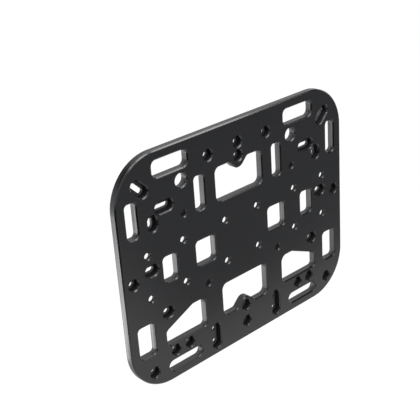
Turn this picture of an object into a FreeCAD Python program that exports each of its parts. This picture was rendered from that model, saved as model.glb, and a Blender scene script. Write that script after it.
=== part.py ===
import FreeCAD, Part
import math
import os
import re
import Sketcher

# Luggage rack platform: one flat plate milled from a sheet of black plastic.
# It stands upright with its front towards -Y. The origin is the centre of the back face,
# by which it is mounted. X runs to the right and Z runs up, in millimetres.

# Driving sizes: name, value and what it is.
# Places are measured from the nearest edge of the plate, from its centre lines, or from its
# quarter lines, which are the upright lines half way between the centre line and the side edges.
SIZES = [
    # The sheet
    ("plate_width", 400, "whole width"),
    ("plate_height", 313, "whole height"),
    ("plate_thickness", 10, "thickness of the sheet"),
    ("plate_corner", 62, "radius of the outer corners"),
    ("edge_chamfer", 1.5, "chamfer on every edge of the front face"),
    ("back_break", 0.5, "small chamfer round the back of the outer edge"),
    ("side_margin", 14.5, "side edge to the openings nearest to it"),
    ("slot_corner", 5, "corner radius of the slots and of the small windows"),
    # Top windows
    ("top_window_width", 55, "width of the two top windows"),
    ("top_window_height", 21.6, "height of the two top windows"),
    ("top_window_corner", 7, "their corner radius"),
    ("top_window_drop", 12.4, "top edge to the top windows"),
    ("long_column_shift", 12.85, "quarter line to the middle of the top windows and bottom slots"),
    # Upper row: upright strap slots and the upper centre window
    ("upper_row_drop", 52.9, "top edge to the upper row"),
    ("upper_row_height", 46, "height of the upper row"),
    ("strap_slot_width", 16, "width of the upright strap slots"),
    ("inner_slot_offset", 69, "centre line to the middle of the inner strap slots"),
    ("centre_window_width", 82.5, "width of the two centre windows"),
    ("centre_window_corner", 8, "their corner radius"),
    ("tab_reach", 16.3, "window's edge to the point where the two sides of a tab would meet"),
    ("tab_tip", 11, "radius of the tip of a tab"),
    ("tab_root", 6, "radius where a tab meets the window's edge"),
    ("tab_seat_rise", 4.6, "window's edge to the bolt seat of the upper tab"),
    # Middle row
    ("middle_row_height", 34.5, "height of the middle windows"),
    ("square_window_width", 32.5, "width of the square windows"),
    ("square_window_offset", 65.25, "centre line to the middle of the square windows"),
    ("narrow_window_width", 22.2, "width of the narrow windows"),
    ("narrow_window_inset", 74.7, "side edge to the middle of the narrow windows"),
    # Lower row: side windows, sloped windows and the lower centre window
    ("lower_row_rise", 51.25, "bottom edge to the lower row"),
    ("side_window_width", 26, "width of the lower side windows"),
    ("side_window_height", 43.5, "their height"),
    ("lower_window_rise", 49.9, "bottom edge to the lower centre window"),
    ("lower_window_height", 46.2, "height of the lower centre window"),
    ("lower_tab_seat_rise", 48.6, "bottom edge to the bolt seat of the lower tab"),
    ("sloped_window_width", 68, "width of the sloped windows"),
    ("sloped_window_height", 40.75, "their height at the tall end"),
    ("sloped_window_low", 21, "their height at the low end"),
    ("sloped_window_flat", 21.5, "length of their level top"),
    ("sloped_window_shift", 6.8, "quarter line to the middle of the sloped windows"),
    ("sloped_inner_corner", 9, "radius of their tall corner"),
    ("sloped_crest", 10, "radius where the level top meets the slope"),
    # Bottom slots
    ("bottom_slot_length", 57, "length of the two bottom slots"),
    ("bottom_slot_height", 14.8, "height of the two bottom slots"),
    ("bottom_slot_rise", 19.3, "bottom edge to the middle of the bottom slots"),
    # Plain round holes
    ("large_hole", 18, "diameter of the two large holes"),
    ("large_hole_drop", 49.5, "top edge to the large holes"),
    ("plain_hole_drop", 93.5, "top edge to the upper plain holes"),
    ("hole_column", 97.5, "centre line to the large holes and the upper plain holes"),
    ("plain_hole_rise", 110, "bottom edge to the lower plain holes"),
    # Squares of holes for holders, with washer recesses in the back
    ("holder_hole", 8.4, "diameter of the holder holes and of the plain holes"),
    ("holder_pitch", 58, "side of each square of holder holes"),
    ("holder_shift", 30.3, "quarter line to the middle of the outer squares"),
    ("washer_recess", 24, "diameter of the recess behind each holder hole"),
    ("washer_land", 5, "material left under a washer"),
    # Bolt seats: a wide recess in the front and a hole through the land that is left
    ("seat_width", 14.5, "width of the bolt seats"),
    ("bolt_width", 6.6, "width of the holes and slots through the land"),
    ("land", 4, "material left under a bolt head"),
    ("seat_rim", 0.5, "least material between two seats that stand close together"),
    ("top_seat_offset", 51.5, "centre line to the top seats"),
    ("top_seat_drop", 32, "top edge to the top seats"),
    ("side_seat_inset", 16, "side edge to the side seats"),
    ("corner_seat_inset", 34.5, "side edge to the bottom corner seats"),
    ("low_seat_rise", 24.3, "bottom edge to the bottom seats"),
    ("twin_seat_rise", 40, "bottom edge to the twin seats"),
    ("twin_seat_pitch", 24, "distance between two twin seats"),
    ("twin_seat_shift", 16, "quarter line to the middle of the twin seats"),
    # Slotted bolt seats, each length measured between the middles of the round ends
    ("long_seat_length", 14, "length of the level and of the slanted seats"),
    ("level_seat_inset", 72.8, "side edge to the level seats"),
    ("level_seat_drop", 73.5, "top edge to the level seats"),
    ("slanted_seat_inset", 38.5, "side edge to the slanted seats"),
    ("slanted_seat_drop", 40, "top edge to the slanted seats"),
    ("short_seat_length", 6, "length of the short seats"),
    ("short_seat_inset", 45.5, "side edge to the short level seats"),
    ("short_seat_rise", 7.7, "level centre line to the short level seats"),
    ("oval_seat_length", 3, "length of the oval seats"),
    ("oval_seat_shift", 35, "quarter line to the oval seats"),
    ("oval_seat_rise", 98, "bottom edge to the oval seats"),
    ("tall_seat_length", 22.5, "length of the tall seats"),
    ("tall_seat_offset", 57.5, "centre line to the tall seats"),
    ("tall_seat_rise", 27, "bottom edge to the tall seats"),
    ("tall_seat_pitch", 18.5, "distance between the two holes of a tall seat"),
]
NAMES = {name for name, size, note in SIZES}

os.makedirs("parts", exist_ok=True)
doc = FreeCAD.newDocument("rack_platform")
sheet = doc.addObject("Spreadsheet::Sheet", "Sizes")
for row, (name, size, note) in enumerate(SIZES, start=1):
    sheet.set(f"A{row}", note)
    sheet.set(f"B{row}", str(size))
    sheet.setAlias(f"B{row}", name)
doc.recompute()

body = doc.addObject("PartDesign::Body", "platform_plate")
body.Label = "platform_plate"
PLANES = {plane.Role: plane for plane in body.Origin.OriginFeatures}

# Sketcher's numbers for its origin, its axes and the points of a curve
ORIGIN = (-1, 1)
LEVEL_AXIS, UPRIGHT_AXIS = -1, -2
START, END, CENTRE = 1, 2, 3
UP = FreeCAD.Vector(0, 0, 1)
TOUCH = 1e-6


# Sizes and places, written as expressions on the sheet
def bound(expression):
    """The expression with every size name pointing at its cell."""
    return re.sub(r"[a-z_]+", lambda word: f"Sizes.{word[0]}" if word[0] in NAMES else word[0], expression)


def value(expression):
    """The number that the expression gives now."""
    return float(sheet.evalExpression(bound(expression)))


def from_side(distance):
    return f"(plate_width / 2 - ({distance}))"


def from_quarter(distance):
    return f"(plate_width / 4 + {distance})"


def from_top(distance):
    return f"(plate_height / 2 - ({distance}))"


def from_bottom(distance):
    return f"({distance} - plate_height / 2)"


# Sketches and what is drawn in them
def new_sketch(name, depth="plate_thickness"):
    """A sketch parallel to the plate, set forward of the back face by the depth."""
    sketch = body.newObject("Sketcher::SketchObject", name)
    sketch.AttachmentSupport = [(PLANES["XZ_Plane"], "")]
    sketch.MapMode = "FlatFace"
    sketch.setExpression("AttachmentOffset.Base.z", bound(depth))
    return sketch


def drive(sketch, expression, kind, *elements):
    """Adds a dimension that follows the expression."""
    index = sketch.addConstraint(Sketcher.Constraint(kind, *elements, value(expression)))
    sketch.setExpression(f"Constraints[{index}]", bound(expression))


def locate(sketch, curve, point, x, z):
    """Holds a point of a curve at a place measured from the middle of the plate."""
    for place, kind, axis in ((x, "DistanceX", UPRIGHT_AXIS), (z, "DistanceY", LEVEL_AXIS)):
        if place == "0":
            sketch.addConstraint(Sketcher.Constraint("PointOnObject", curve, point, axis))
        else:
            drive(sketch, place, kind, *ORIGIN, curve, point)


def place_of(x, z):
    return FreeCAD.Vector(value(x), value(z), 0)


def heading(vector):
    return math.atan2(vector.y, vector.x)


def draw_circle(sketch, x, z, diameter):
    circle = sketch.addGeometry(Part.Circle(place_of(x, z), UP, value(diameter) / 2))
    drive(sketch, diameter, "Diameter", circle)
    locate(sketch, circle, CENTRE, x, z)


def draw_outline(sketch, corners):
    """A closed outline of straight sides, anticlockwise. A corner is its sharp place and its radius."""
    points = [place_of(x, z) for x, z, radius in corners]
    arcs = []
    for index, point in enumerate(points):
        back = (points[index - 1] - point).normalize()
        ahead = (points[(index + 1) % len(points)] - point).normalize()
        half_angle = back.getAngle(ahead) / 2
        radius = value(corners[index][2])
        middle = point + (back + ahead).normalize() * (radius / math.sin(half_angle))
        joins = [point + way * (radius / math.tan(half_angle)) for way in (back, ahead)]
        # An arc always runs anticlockwise, so it is met from its end where the outline turns right.
        turns_left = ahead.cross(back).z > 0
        first, last = joins if turns_left else reversed(joins)
        circle = Part.Circle(middle, UP, radius)
        arc = Part.ArcOfCircle(circle, heading(first - middle), heading(last - middle))
        ends = (START, END) if turns_left else (END, START)
        arcs.append((sketch.addGeometry(arc), joins, ends))
    sides = []
    for (arc, joins, ends), (next_arc, next_joins, next_ends) in zip(arcs, arcs[1:] + arcs[:1]):
        side = sketch.addGeometry(Part.LineSegment(joins[1], next_joins[0]))
        sketch.addConstraint(Sketcher.Constraint("Tangent", arc, ends[1], side, START))
        sketch.addConstraint(Sketcher.Constraint("Tangent", side, END, next_arc, next_ends[0]))
        sides.append(side)
    for index, (x, z, radius) in enumerate(corners):
        drive(sketch, radius, "Radius", arcs[index][0])
        sharp = sketch.addGeometry(Part.Point(points[index]), True)
        locate(sketch, sharp, START, x, z)
        for side in (sides[index - 1], sides[index]):
            sketch.addConstraint(Sketcher.Constraint("PointOnObject", sharp, START, side))


def draw_window(sketch, middle, width, bottom, height, radius):
    """An upright rectangle with round corners, given by its middle line and its lower edge."""
    left, right = f"{middle} - {width} / 2", f"{middle} + {width} / 2"
    top = f"{bottom} + {height}"
    corners = ((left, bottom), (right, bottom), (right, top), (left, top))
    draw_outline(sketch, [(x, z, radius) for x, z in corners])


def slot_ends(x, z, length, slant):
    """The middles of the two round ends of a slot, from its own middle and its slant in degrees."""
    across, along = f"{length} / 2 * cos({slant})", f"{length} / 2 * sin({slant})"
    return (f"{x} - {across}", f"{z} - {along}"), (f"{x} + {across}", f"{z} + {along}")


def draw_slot(sketch, ends, width):
    """A slot with round ends about two middles."""
    middles = [place_of(*end) for end in ends]
    radius = value(width) / 2
    side = UP.cross((middles[1] - middles[0]).normalize()) * radius
    turn = heading(side)
    chain = sketch.addGeometry([
        Part.ArcOfCircle(Part.Circle(middles[0], UP, radius), turn, turn + math.pi),
        Part.LineSegment(middles[0] - side, middles[1] - side),
        Part.ArcOfCircle(Part.Circle(middles[1], UP, radius), turn - math.pi, turn),
        Part.LineSegment(middles[1] + side, middles[0] + side),
    ])
    for curve, after in zip(chain, chain[1:] + chain[:1]):
        sketch.addConstraint(Sketcher.Constraint("Tangent", curve, END, after, START))
    sketch.addConstraint(Sketcher.Constraint("Equal", chain[0], chain[2]))
    drive(sketch, f"{width} / 2", "Radius", chain[0])
    for arc, end in zip((chain[0], chain[2]), ends):
        locate(sketch, arc, CENTRE, *end)


# Features
def settle(feature):
    """Makes the feature the body's last one, and checks that it took material away."""
    before = body.Shape.Volume
    body.Tip = feature
    doc.recompute()
    if not body.Shape.Volume < before - TOUCH:
        raise RuntimeError(f"{feature.Name} takes nothing away")
    return feature


def cut(name, sketch, depth=None):
    """Cuts from the front, to the depth or right through where none is given."""
    pocket = body.newObject("PartDesign::Pocket", name)
    pocket.Profile = sketch
    if depth:
        pocket.setExpression("Length", bound(depth))
    else:
        pocket.Type = "ThroughAll"
    return settle(pocket)


def drill(name, sketch, diameter, seat, left, from_back=False):
    """Holes through the plate at the circles of the sketch, each with a flat seat that leaves a land."""
    doc.recompute()
    hole = body.newObject("PartDesign::Hole", name)
    hole.Profile = sketch
    hole.Reversed = from_back
    hole.DepthType = "ThroughAll"
    hole.HoleCutType = "Counterbore"
    hole.setExpression("Diameter", bound(diameter))
    hole.setExpression("HoleCutDiameter", bound(seat))
    hole.setExpression("HoleCutDepth", bound(f"plate_thickness - {left}"))
    return settle(hole)


def face_at(shape, y):
    """The number and the shape of the largest flat face that lies at a depth."""
    flat = [(number, face) for number, face in enumerate(shape.Faces, start=1)
            if max(abs(face.BoundBox.YMin - y), abs(face.BoundBox.YMax - y)) < TOUCH]
    return max(flat, key=lambda found: found[1].Area)


def chamfer(name, base, elements, size):
    bevel = body.newObject("PartDesign::Chamfer", name)
    bevel.Base = (base, elements)
    bevel.setExpression("Size", bound(size))
    return settle(bevel)


UPPER_EDGE = from_top("upper_row_drop")
UPPER_FLOOR = f"{UPPER_EDGE} - upper_row_height"
LOWER_EDGE = from_bottom("lower_row_rise")
LONG_COLUMN = from_quarter("long_column_shift")

# The sheet, with its four large corners
outline = new_sketch("outline", depth="0")
draw_outline(outline, [
    ("-plate_width / 2", "-plate_height / 2", "plate_corner"),
    ("plate_width / 2", "-plate_height / 2", "plate_corner"),
    ("plate_width / 2", "plate_height / 2", "plate_corner"),
    ("-plate_width / 2", "plate_height / 2", "plate_corner"),
])
blank = body.newObject("PartDesign::Pad", "blank")
blank.Profile = outline
blank.setExpression("Length", bound("plate_thickness"))
body.Tip = blank
doc.recompute()

# The two centre windows. A tab that carries a bolt seat reaches into each, with sides at 45 degrees.
HALF_WINDOW = "centre_window_width / 2"
centre_windows = new_sketch("centre_windows")
draw_outline(centre_windows, [
    (f"-{HALF_WINDOW}", UPPER_FLOOR, "centre_window_corner"),
    (HALF_WINDOW, UPPER_FLOOR, "centre_window_corner"),
    (HALF_WINDOW, UPPER_EDGE, "centre_window_corner"),
    ("tab_reach", UPPER_EDGE, "tab_root"),
    ("0", f"{UPPER_EDGE} - tab_reach", "tab_tip"),
    ("-tab_reach", UPPER_EDGE, "tab_root"),
    (f"-{HALF_WINDOW}", UPPER_EDGE, "centre_window_corner"),
])
lower_floor = from_bottom("lower_window_rise")
lower_roof = f"{lower_floor} + lower_window_height"
draw_outline(centre_windows, [
    (f"-{HALF_WINDOW}", lower_floor, "centre_window_corner"),
    ("-tab_reach", lower_floor, "tab_root"),
    ("0", f"{lower_floor} + tab_reach", "tab_tip"),
    ("tab_reach", lower_floor, "tab_root"),
    (HALF_WINDOW, lower_floor, "centre_window_corner"),
    (HALF_WINDOW, lower_roof, "centre_window_corner"),
    (f"-{HALF_WINDOW}", lower_roof, "centre_window_corner"),
])
cut("centre_window_cut", centre_windows)

# Bolt seats on the centre line: one in each tab, and one beyond it
CLOSE_PITCH = "(seat_width + 2 * edge_chamfer + seat_rim)"
centre_seats = new_sketch("centre_seats")
for z in (f"{UPPER_EDGE} + tab_seat_rise", f"{UPPER_EDGE} + tab_seat_rise + {CLOSE_PITCH}",
          from_bottom("lower_tab_seat_rise"), from_bottom("low_seat_rise")):
    draw_circle(centre_seats, "0", z, "seat_width")
drill("centre_seat_holes", centre_seats, "bolt_width", "seat_width", "land")

# The right half's top window and the strap slots of its upper row
upper_windows = new_sketch("upper_windows")
draw_window(upper_windows, LONG_COLUMN, "top_window_width",
            from_top("top_window_drop + top_window_height"), "top_window_height", "top_window_corner")
for middle in ("inner_slot_offset", from_side("side_margin + strap_slot_width / 2")):
    draw_window(upper_windows, middle, "strap_slot_width", UPPER_FLOOR, "upper_row_height", "slot_corner")
upper_cut = cut("upper_cut", upper_windows)

# Its middle row
middle_windows = new_sketch("middle_windows")
for middle, width in (("square_window_offset", "square_window_width"),
                      (from_side("narrow_window_inset"), "narrow_window_width")):
    draw_window(middle_windows, middle, width, "-middle_row_height / 2", "middle_row_height", "slot_corner")
middle_cut = cut("middle_cut", middle_windows)

# Its lower row and bottom slot
slope_left = from_quarter("sloped_window_shift - sloped_window_width / 2")
slope_right = from_quarter("sloped_window_shift + sloped_window_width / 2")
slope_top = f"{LOWER_EDGE} + sloped_window_height"
lower_windows = new_sketch("lower_windows")
draw_window(lower_windows, from_side("side_margin + side_window_width / 2"), "side_window_width",
            LOWER_EDGE, "side_window_height", "slot_corner")
draw_outline(lower_windows, [
    (slope_left, LOWER_EDGE, "slot_corner"),
    (slope_right, LOWER_EDGE, "slot_corner"),
    (slope_right, f"{LOWER_EDGE} + sloped_window_low", "slot_corner"),
    (f"{slope_left} + sloped_window_flat", slope_top, "sloped_crest"),
    (slope_left, slope_top, "sloped_inner_corner"),
])
draw_slot(lower_windows, slot_ends(LONG_COLUMN, from_bottom("bottom_slot_rise"),
                                   "(bottom_slot_length - bottom_slot_height)", 0), "bottom_slot_height")
lower_cut = cut("lower_cut", lower_windows)

# Its plain round holes
plain_holes = new_sketch("plain_holes")
draw_circle(plain_holes, "hole_column", from_top("large_hole_drop"), "large_hole")
draw_circle(plain_holes, "hole_column", from_top("plain_hole_drop"), "holder_hole")
draw_circle(plain_holes, "square_window_offset", from_bottom("plain_hole_rise"), "holder_hole")
plain_hole_cut = cut("plain_hole_cut", plain_holes)

# Its round bolt seats
twin_middle = from_quarter("twin_seat_shift")
round_seats = new_sketch("round_seats")
for x, z in (("top_seat_offset", from_top("top_seat_drop")),
             (from_side("side_seat_inset"), "0"),
             (f"{twin_middle} - twin_seat_pitch / 2", from_bottom("twin_seat_rise")),
             (f"{twin_middle} + twin_seat_pitch / 2", from_bottom("twin_seat_rise")),
             (from_side("corner_seat_inset"), from_bottom("low_seat_rise"))):
    draw_circle(round_seats, x, z, "seat_width")
seat_holes = drill("seat_holes", round_seats, "bolt_width", "seat_width", "land")

# Its slotted bolt seats. An upright one stands close to the level one, at 45 degrees below its end.
level_seat = slot_ends(from_side("level_seat_inset"), from_top("level_seat_drop"), "long_seat_length", 0)
upright_x = f"{level_seat[1][0]} + {CLOSE_PITCH} * cos(45)"
upright_z = f"{level_seat[1][1]} - {CLOSE_PITCH} * sin(45)"
seat_slots = [
    level_seat,
    ((upright_x, f"{upright_z} - short_seat_length"), (upright_x, upright_z)),
    slot_ends(from_side("slanted_seat_inset"), from_top("slanted_seat_drop"), "long_seat_length", 45),
    slot_ends(from_side("short_seat_inset"), "short_seat_rise", "short_seat_length", 0),
    slot_ends(from_quarter("oval_seat_shift"), from_bottom("oval_seat_rise"), "oval_seat_length", 0),
]
tall_place = ("tall_seat_offset", from_bottom("tall_seat_rise"))
slotted_seats = new_sketch("slotted_seats")
for ends in seat_slots + [slot_ends(*tall_place, "tall_seat_length", 90)]:
    draw_slot(slotted_seats, ends, "seat_width")
slotted_seat_cut = cut("slotted_seat_cut", slotted_seats, "plate_thickness - land")

# A slot through the land of each, but two round holes in the tall one
bolt_slots = new_sketch("bolt_slots")
for ends in seat_slots:
    draw_slot(bolt_slots, ends, "bolt_width")
for x, z in slot_ends(*tall_place, "tall_seat_pitch", 90):
    draw_circle(bolt_slots, x, z, "bolt_width")
bolt_slot_cut = cut("bolt_slot_cut", bolt_slots)

# Its share of the three squares of holder holes, which have their washer recesses in the back
outer_square = from_quarter("holder_shift")
holder_holes = new_sketch("holder_holes", depth="0")
for x in ("holder_pitch / 2", f"{outer_square} - holder_pitch / 2", f"{outer_square} + holder_pitch / 2"):
    for z in ("-holder_pitch / 2", "holder_pitch / 2"):
        draw_circle(holder_holes, x, z, "holder_hole")
holder_cut = drill("holder_cut", holder_holes, "holder_hole", "washer_recess", "washer_land", from_back=True)

# The left half is the right half's mirror image
left_half = body.newObject("PartDesign::Mirrored", "left_half")
left_half.Originals = [upper_cut, middle_cut, lower_cut, plain_hole_cut, seat_holes, slotted_seat_cut,
                       bolt_slot_cut, holder_cut]
left_half.MirrorPlane = (PLANES["YZ_Plane"], [""])
settle(left_half)

# Every edge of the front is chamfered, and the outer edge of the back is broken
number, front_face = face_at(body.Shape, -value("plate_thickness"))
front_chamfer = chamfer("front_chamfer", left_half, [f"Face{number}"], "edge_chamfer")
number, back_face = face_at(body.Shape, 0)
rim = back_face.OuterWire.Edges
rim_names = [f"Edge{number}" for number, edge in enumerate(body.Shape.Edges, start=1)
             if any(edge.isSame(side) for side in rim)]
chamfer("back_chamfer", front_chamfer, rim_names, "back_break")

# Everything must have been built before the plate is written
for item in doc.Objects:
    if {"Invalid", "Error"} & set(item.State):
        raise RuntimeError(f"{item.Name} is not built")
plate = body.Shape
if plate.isNull() or not plate.isValid() or len(plate.Solids) != 1:
    raise RuntimeError("the plate is not one sound solid")
plate.exportStep(f"parts/{body.Label}.step")
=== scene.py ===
import math

import bpy
from mathutils import Matrix, Vector


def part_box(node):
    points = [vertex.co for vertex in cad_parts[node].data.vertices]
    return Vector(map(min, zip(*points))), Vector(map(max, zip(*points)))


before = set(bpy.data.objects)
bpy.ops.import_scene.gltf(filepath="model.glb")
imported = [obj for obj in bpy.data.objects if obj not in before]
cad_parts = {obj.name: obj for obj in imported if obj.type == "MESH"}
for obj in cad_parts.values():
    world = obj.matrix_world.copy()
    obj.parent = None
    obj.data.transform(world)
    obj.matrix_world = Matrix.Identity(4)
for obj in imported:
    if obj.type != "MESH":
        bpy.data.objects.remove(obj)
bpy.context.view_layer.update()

# Luggage rack platform: one black plate, held upright in the air over a pale floor.
# Lengths are in metres. The plate's front faces -Y, and Z is up.
MM = 0.001
PLATE = "platform_plate"
plate_low, plate_high = (Vector(corner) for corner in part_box(PLATE))
PLATE_CENTRE = (plate_low + plate_high) / 2
PLATE_HALF = (plate_high - plate_low) / 2
PLATE_CORNER = 62 * MM

# Where the finish and the painted light of the walls change: how wide a band along the plate's outline counts
# as its own edge, how far from the centre line the two tabs reach, how close together the walls of a small
# hole are, which get painted shade, and between which places along Y the painted highlight on the streaks of
# an inside corner sets in, with the front face at -10 mm.
EDGE_BAND = 3 * MM
TAB_REACH = 18 * MM
SMALL_HOLE = 10 * MM
CORNER_HIGHLIGHT_START = -6.5 * MM
CORNER_HIGHLIGHT_FULL = -3.5 * MM

# Sizes of the patterns. The pebble and the cutter's marks are drawn coarser than they are, and the chatter
# deeper, because the real ones are too fine to show. The last two values draw the marks out along the wall
# or along the cutter.
TONE_DRIFT = 35 * MM
PEBBLE = 0.9 * MM
MARK_WIDTH = 2.2 * MM
MARK_DEPTH = 0.07 * MM
CHATTER_DEPTH = 0.5 * MM
ALONG_WALL = (0.02, 1, 0.02)
ALONG_CUTTER = (1, 0.03, 1)

SKIN_DARK, SKIN_PALE = "#0f1013", "#18191d"
# The last wall colour is the pale of a painted highlight on the streaks of inside corners.
WALL_DARK, WALL_PALE, CORNER_HIGHLIGHT_PALE = "#0c0d0f", "#222326", "#6c6d70"
# Painted shade: the near black of the walls of small holes, as if in their own hole's shadow.
HOLE_PAINTED_SHADE = "#08080a"
SKIN_ROUGHNESS = (0.21, 0.28)
WALL_ROUGHNESS = (0.3, 0.5)
CHAMFER_ROUGHNESS = 0.2
DRILLED_ROUGHNESS = 0.9

# The photograph's view: where the camera stands, the point of the front face in the middle of
# the picture, how far the camera is tipped to one side, and its lens.
CAMERA_PLACE = Vector((-0.7816, -0.8137, 0.5418))
CAMERA_AIM = Vector((-0.0546, -0.0100, 0.0525))
CAMERA_ROLL = math.radians(-4.08)
CAMERA_LENS = 81.82
CAMERA_SENSOR = 36

# The stage. Flags on the floor lie a little above it, as far out as FLAG_REACH. The floor's white is a
# little over 1, to stay white beside the share of paint that keeps the shadow.
FLOOR_HEIGHT = -0.45
FLOOR_REACH = 6.0
FLOOR_WHITE = 1.1
FLOOR_SHADOW = 0.12
FLAG_HEIGHT = FLOOR_HEIGHT + 0.005
FLAG_REACH = 4
ROOM_LIGHT = 0.4


def linear(colour):
    """An sRGB hex colour as linear red, green, blue and alpha."""
    shares = [int(colour[place:place + 2], 16) / 255 for place in (1, 3, 5)]
    return [share / 12.92 if share <= 0.04045 else ((share + 0.055) / 1.055) ** 2.4 for share in shares] + [1]


def add(tree, kind, inputs=None, **settings):
    """A new node with its settings. An input is a plain value, or a socket to link."""
    node = tree.nodes.new(kind)
    for name, setting in settings.items():
        setattr(node, name, setting)
    for name, given in (inputs or {}).items():
        if isinstance(given, bpy.types.NodeSocket):
            tree.links.new(given, node.inputs[name])
        else:
            node.inputs[name].default_value = given
    return node


def new_material(name):
    material = bpy.data.materials.new(name)
    material.use_nodes = True
    material.node_tree.nodes.clear()
    return material, material.node_tree


# The plate's material
def inside_corners(tree, place, turned):
    """1 on the walls of inside corners, which stand at a slant. So do the plate's own corners and the
    sides of its tabs, which are kept out by their place."""
    slant = add(tree, "ShaderNodeMath", {0: turned["X"], 1: turned["Z"]}, operation="MULTIPLY").outputs[0]
    slant = add(tree, "ShaderNodeMath", {0: slant}, operation="ABSOLUTE").outputs[0]
    from_middle = add(tree, "ShaderNodeVectorMath", {0: place}, operation="ABSOLUTE").outputs[0]

    # The plate's outline lies one corner radius outside a smaller, sharp-cornered core.
    core = (PLATE_HALF.x - PLATE_CORNER, 2 * PLATE_HALF.y, PLATE_HALF.z - PLATE_CORNER)
    past_core = add(tree, "ShaderNodeVectorMath", {0: from_middle, 1: core}, operation="SUBTRACT").outputs[0]
    past_core = add(tree, "ShaderNodeVectorMath", {0: past_core, 1: (0, 0, 0)},
                    operation="MAXIMUM").outputs[0]
    reach = add(tree, "ShaderNodeVectorMath", {0: past_core}, operation="LENGTH").outputs["Value"]
    inside = add(tree, "ShaderNodeMath", {0: reach, 1: PLATE_CORNER - EDGE_BAND},
                 operation="LESS_THAN").outputs[0]

    sideways = add(tree, "ShaderNodeSeparateXYZ", {0: from_middle}).outputs["X"]
    past_tabs = add(tree, "ShaderNodeMath", {0: sideways, 1: TAB_REACH}, operation="GREATER_THAN").outputs[0]
    allowed = add(tree, "ShaderNodeMath", {0: inside, 1: past_tabs}, operation="MULTIPLY").outputs[0]
    return add(tree, "ShaderNodeMapRange", {"Value": slant, "From Min": 0.08, "From Max": 0.3,
                                            "To Max": allowed}).outputs[0]


def small_holes(tree):
    """1 on the walls of small holes, which have other walls close all round them. These walls get painted
    shade and a matt finish.
    """
    openness = add(tree, "ShaderNodeAmbientOcclusion", {"Distance": SMALL_HOLE}, samples=8, only_local=True)
    return add(tree, "ShaderNodeMapRange", {"Value": openness.outputs["AO"], "From Min": 0.45,
                                            "From Max": 0.75, "To Min": 1.0, "To Max": 0.0}).outputs[0]


def cutter_marks(tree, place, corner):
    """Streaks from 0 to 1: along the cutter's path on straight walls, and along its axis in inside
    corners, where it chatters."""
    marks = []
    for stretch in (ALONG_WALL, ALONG_CUTTER):
        mark_place = add(tree, "ShaderNodeVectorMath", {0: place, 1: stretch}, operation="MULTIPLY")
        mark = add(tree, "ShaderNodeTexNoise", {"Vector": mark_place.outputs[0], "Scale": 1 / MARK_WIDTH,
                                                "Detail": 2.0, "Roughness": 0.6})
        marks.append(mark.outputs["Fac"])
    streaks = add(tree, "ShaderNodeMix", {"Factor": corner, 2: marks[0], 3: marks[1]}).outputs[0]
    return add(tree, "ShaderNodeMapRange", {"Value": streaks, "From Min": 0.3, "From Max": 0.7}).outputs[0]


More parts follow.
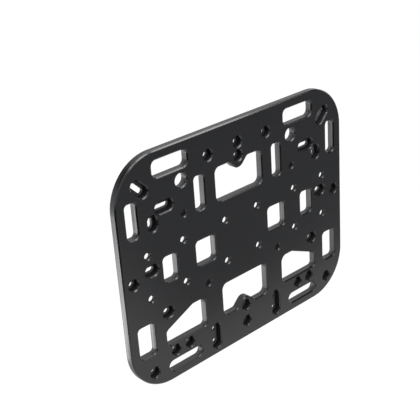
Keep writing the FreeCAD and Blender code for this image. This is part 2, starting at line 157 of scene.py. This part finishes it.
def milled_black_polyethylene():
    """Black high-density polyethylene sheet, extruded and then milled to shape.
    The extruded skin is a deep satin black with a fine pebble. The end mill leaves the chamfers smooth
    and black, and the walls greyer and duller, with fine lines along its path. In inside corners it
    chatters, and its streaks there are painted paler towards the back as a painted highlight. The walls of
    small holes are matt, and painted black as painted shade."""
    material, tree = new_material("milled_black_polyethylene")
    place = add(tree, "ShaderNodeTexCoord").outputs["Object"]
    normal = add(tree, "ShaderNodeNewGeometry").outputs["True Normal"]
    turned = add(tree, "ShaderNodeSeparateXYZ", {0: normal}).outputs

    # Where each finish is: the skin on the front and back, the walls across the sheet, chamfers between.
    facing = add(tree, "ShaderNodeMath", {0: turned["Y"]}, operation="ABSOLUTE").outputs[0]
    wall = add(tree, "ShaderNodeMapRange", {"Value": facing, "From Min": 0.2, "From Max": 0.5,
                                            "To Min": 1.0, "To Max": 0.0}).outputs[0]
    skin = add(tree, "ShaderNodeMapRange", {"Value": facing, "From Min": 0.8, "From Max": 0.95}).outputs[0]
    matt_and_shaded_hole = small_holes(tree)
    milled = add(tree, "ShaderNodeMath", {0: 1.0, 1: matt_and_shaded_hole}, operation="SUBTRACT").outputs[0]
    corner = add(tree, "ShaderNodeMath", {0: inside_corners(tree, place, turned), 1: milled},
                 operation="MULTIPLY").outputs[0]
    streaks = cutter_marks(tree, place, corner)
    depth = add(tree, "ShaderNodeSeparateXYZ", {0: place}).outputs["Y"]
    # Painted highlight mask: full in inside corners towards the back of the plate.
    corner_highlight = add(tree, "ShaderNodeMapRange", {"Value": depth, "From Min": CORNER_HIGHLIGHT_START, "From Max": CORNER_HIGHLIGHT_FULL,
                                            "To Max": corner}).outputs[0]

    # Colour: the skin drifts a little in tone over a few centimetres, and the walls are streaked. Inside
    # corners get a painted highlight towards the back, and small holes painted shade.
    drift = add(tree, "ShaderNodeTexNoise", {"Vector": place, "Scale": 1 / TONE_DRIFT, "Detail": 3.0})
    skin_colour = add(tree, "ShaderNodeMix", {"Factor": drift.outputs["Fac"], 6: linear(SKIN_DARK),
                                              7: linear(SKIN_PALE)}, data_type="RGBA")
    wall_colour = add(tree, "ShaderNodeMix", {"Factor": streaks, 6: linear(WALL_DARK),
                                              7: linear(WALL_PALE)}, data_type="RGBA")
    # Painted highlight: the streaks of inside corners turn this pale colour towards the back.
    corner_highlight_colour = add(tree, "ShaderNodeMix", {"Factor": streaks, 6: linear(WALL_DARK),
                                              7: linear(CORNER_HIGHLIGHT_PALE)}, data_type="RGBA")
    wall_colour = add(tree, "ShaderNodeMix", {"Factor": corner_highlight, 6: wall_colour.outputs[2],
                                              7: corner_highlight_colour.outputs[2]}, data_type="RGBA")
    # Painted shade: the walls of small holes are darkened to near black.
    wall_colour = add(tree, "ShaderNodeMix", {"Factor": matt_and_shaded_hole, 6: wall_colour.outputs[2],
                                              7: linear(HOLE_PAINTED_SHADE)}, data_type="RGBA")
    colour = add(tree, "ShaderNodeMix", {"Factor": wall, 6: skin_colour.outputs[2],
                                         7: wall_colour.outputs[2]}, data_type="RGBA")

    # Roughness: satin skin, smooth chamfers, duller walls, matt small holes.
    pebble = add(tree, "ShaderNodeTexNoise", {"Vector": place, "Scale": 1 / PEBBLE, "Detail": 2.0})
    skin_rough = add(tree, "ShaderNodeMapRange", {"Value": pebble.outputs["Fac"],
                                                  "To Min": SKIN_ROUGHNESS[0],
                                                  "To Max": SKIN_ROUGHNESS[1]}).outputs[0]
    skin_rough = add(tree, "ShaderNodeMix", {"Factor": skin, 2: CHAMFER_ROUGHNESS, 3: skin_rough}).outputs[0]
    wall_rough = add(tree, "ShaderNodeMapRange", {"Value": streaks, "To Min": WALL_ROUGHNESS[0],
                                                  "To Max": WALL_ROUGHNESS[1]}).outputs[0]
    wall_rough = add(tree, "ShaderNodeMix", {"Factor": matt_and_shaded_hole, 2: wall_rough,
                                             3: DRILLED_ROUGHNESS}).outputs[0]
    rough = add(tree, "ShaderNodeMix", {"Factor": wall, 2: skin_rough, 3: wall_rough}).outputs[0]

    # Relief: pebble on the skin, the cutter's lines on the walls, and deeper chatter in inside corners.
    low_pebble = add(tree, "ShaderNodeMapRange", {"Value": pebble.outputs["Fac"], "To Max": 0.6})
    skin_relief = add(tree, "ShaderNodeMath", {0: low_pebble.outputs[0], 1: skin}, operation="MULTIPLY")
    relief = add(tree, "ShaderNodeMix", {"Factor": wall, 2: skin_relief.outputs[0], 3: streaks}).outputs[0]
    ridges = add(tree, "ShaderNodeMath", {0: corner, 1: streaks}, operation="MULTIPLY").outputs[0]
    bump = add(tree, "ShaderNodeBump", {"Height": relief, "Strength": 0.35, "Distance": MARK_DEPTH})
    bump = add(tree, "ShaderNodeBump", {"Height": ridges, "Strength": 1.0, "Distance": CHATTER_DEPTH,
                                        "Normal": bump.outputs[0]})

    shader = add(tree, "ShaderNodeBsdfPrincipled", {"Base Color": colour.outputs[2], "Roughness": rough,
                                                    "IOR": 1.52, "Normal": bump.outputs[0]})
    add(tree, "ShaderNodeOutputMaterial", {"Surface": shader.outputs[0]})
    return material


# Materials of the stage
def seen_as_background(tree):
    """1 for what the camera sees, straight or by way of a gloss or a clear surface."""
    path = add(tree, "ShaderNodeLightPath")
    seen = path.outputs["Is Camera Ray"]
    for way in ("Is Glossy Ray", "Is Transmission Ray"):
        seen = add(tree, "ShaderNodeMath", {0: seen, 1: path.outputs[way]}, operation="MAXIMUM").outputs[0]
    return seen


def pale_floor():
    """Matt white paint. It is seen as plain white, with a trace of shadow left in."""
    material, tree = new_material("pale_floor_paint")
    paint = add(tree, "ShaderNodeBsdfDiffuse", {"Color": linear("#e6e6e6")})
    white = add(tree, "ShaderNodeEmission", {"Color": (1, 1, 1, 1), "Strength": FLOOR_WHITE})
    share = add(tree, "ShaderNodeMath", {0: seen_as_background(tree), 1: 1 - FLOOR_SHADOW},
                operation="MULTIPLY")
    mix = add(tree, "ShaderNodeMixShader", {0: share.outputs[0], 1: paint.outputs[0], 2: white.outputs[0]})
    add(tree, "ShaderNodeOutputMaterial", {"Surface": mix.outputs[0]})
    return material


def flag_cloth(name, colour):
    """Matt cloth, for the flags that keep the white room out of the plate's gloss."""
    material, tree = new_material(name)
    weave = add(tree, "ShaderNodeBsdfDiffuse", {"Color": linear(colour)})
    add(tree, "ShaderNodeOutputMaterial", {"Surface": weave.outputs[0]})
    return material


# The plate keeps its own shape and gets its finish
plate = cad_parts[PLATE]
plate.data.materials.clear()
plate.data.materials.append(milled_black_polyethylene())


# Floor, light and camera
def make_sheet(name, corners, material):
    """A flat sheet of the stage, given by its four corners."""
    mesh = bpy.data.meshes.new(name)
    mesh.from_pydata(corners, [], [(0, 1, 2, 3)])
    mesh.materials.append(material)
    sheet = bpy.data.objects.new(name, mesh)
    bpy.context.scene.collection.objects.link(sheet)
    return sheet


def level(left, right, front, back, height=FLAG_HEIGHT):
    """The corners of a level sheet."""
    return [(left, front, height), (right, front, height), (right, back, height), (left, back, height)]


def upright(left, right, low, high, back):
    """The corners of a sheet that hangs behind the plate and faces it."""
    return [(left, back, low), (right, back, low), (right, back, high), (left, back, high)]


def make_flag(name, corners, material):
    """Cloth that works on the plate's gloss alone. The camera sees the white room in its place."""
    flag = make_sheet(name, corners, material)
    flag.visible_camera = False
    flag.visible_diffuse = False
    flag.visible_shadow = False


def make_softbox(name, place, width, height, radiance, aim=PLATE_CENTRE):
    """A rectangular softbox that faces a point, with its brightness as seen from the front."""
    lamp = bpy.data.lights.new(name, "AREA")
    lamp.shape = "RECTANGLE"
    lamp.size = width
    lamp.size_y = height
    lamp.energy = radiance * math.pi * width * height
    holder = bpy.data.objects.new(name, lamp)
    holder.location = place
    holder.rotation_euler = (aim - Vector(place)).to_track_quat("-Z", "Y").to_euler()
    bpy.context.scene.collection.objects.link(holder)


def make_world():
    """A soft white room, seen as plain white."""
    world = bpy.data.worlds.new("studio")
    world.use_nodes = True
    tree = world.node_tree
    tree.nodes.clear()
    room = add(tree, "ShaderNodeBackground", {"Color": (1, 1, 1, 1), "Strength": ROOM_LIGHT})
    white = add(tree, "ShaderNodeBackground", {"Color": (1, 1, 1, 1), "Strength": 1.0})
    mix = add(tree, "ShaderNodeMixShader", {0: seen_as_background(tree), 1: room.outputs[0],
                                            2: white.outputs[0]})
    add(tree, "ShaderNodeOutputWorld", {"Surface": mix.outputs[0]})
    bpy.context.scene.world = world


def make_camera():
    camera = bpy.data.objects.new("camera", bpy.data.cameras.new("camera"))
    camera.data.lens = CAMERA_LENS
    camera.data.sensor_width = CAMERA_SENSOR
    look = (CAMERA_AIM - CAMERA_PLACE).to_track_quat("-Z", "Y").to_matrix().to_4x4()
    camera.matrix_world = Matrix.Translation(CAMERA_PLACE) @ look @ Matrix.Rotation(CAMERA_ROLL, 4, "Z")
    bpy.context.scene.collection.objects.link(camera)
    bpy.context.scene.camera = camera


make_sheet("floor", level(-FLOOR_REACH, FLOOR_REACH, -FLOOR_REACH, FLOOR_REACH, FLOOR_HEIGHT), pale_floor())
make_world()

# Black cloth on the floor to the left and in front, for the chamfers that face left
black_cloth = flag_cloth("black_cloth", "#0d0d0d")
make_flag("left_flag", level(left=-FLAG_REACH, right=-0.85, front=-FLAG_REACH, back=0.05), black_cloth)
make_flag("front_flag", level(left=-0.85, right=0.1, front=-FLAG_REACH, back=-0.75), black_cloth)

# Three strips that grade the floor to the right, which the face mirrors, from dull to pale
make_flag("near_flag", level(left=0.26, right=FLAG_REACH, front=-0.64, back=-0.43),
          flag_cloth("dull_cloth", "#a4a4a4"))
make_flag("middle_flag", level(left=0.33, right=FLAG_REACH, front=-0.95, back=-0.64),
          flag_cloth("grey_cloth", "#c8c8c8"))
make_flag("far_flag", level(left=0.33, right=FLAG_REACH, front=-FLAG_REACH, back=-0.95),
          flag_cloth("pale_cloth", "#dadada"))

# Black cloth behind the plate's upper left corner, and overhead for the right end of its top chamfer
make_flag("corner_flag", upright(left=-0.45, right=-0.17, low=0.19, high=0.5, back=0.15), black_cloth)
make_flag("ceiling_flag", level(left=1.15, right=3, front=-2.5, back=0.2, height=1.1), black_cloth)

# The right and corner softboxes shine in the chamfers that face up, the front one lights the face, and
# the panel on the floor behind shines in the walls that face left
make_softbox("right_softbox", place=(0.7, -0.22, 1.0), width=0.56, height=0.28, radiance=8.4)
make_softbox("front_softbox", place=(0.05, -0.82, 1.0), width=0.95, height=0.36, radiance=6)
make_softbox("back_left_panel", place=(-0.83, 0.6, -0.44), width=0.76, height=0.6, radiance=6.6,
             aim=Vector((-0.8, 0.62, 1.0)))
make_softbox("corner_softbox", place=(0.13, -0.51, 1.0), width=0.4, height=0.1, radiance=10)
make_camera()
bpy.context.scene.view_settings.view_transform = "Standard"
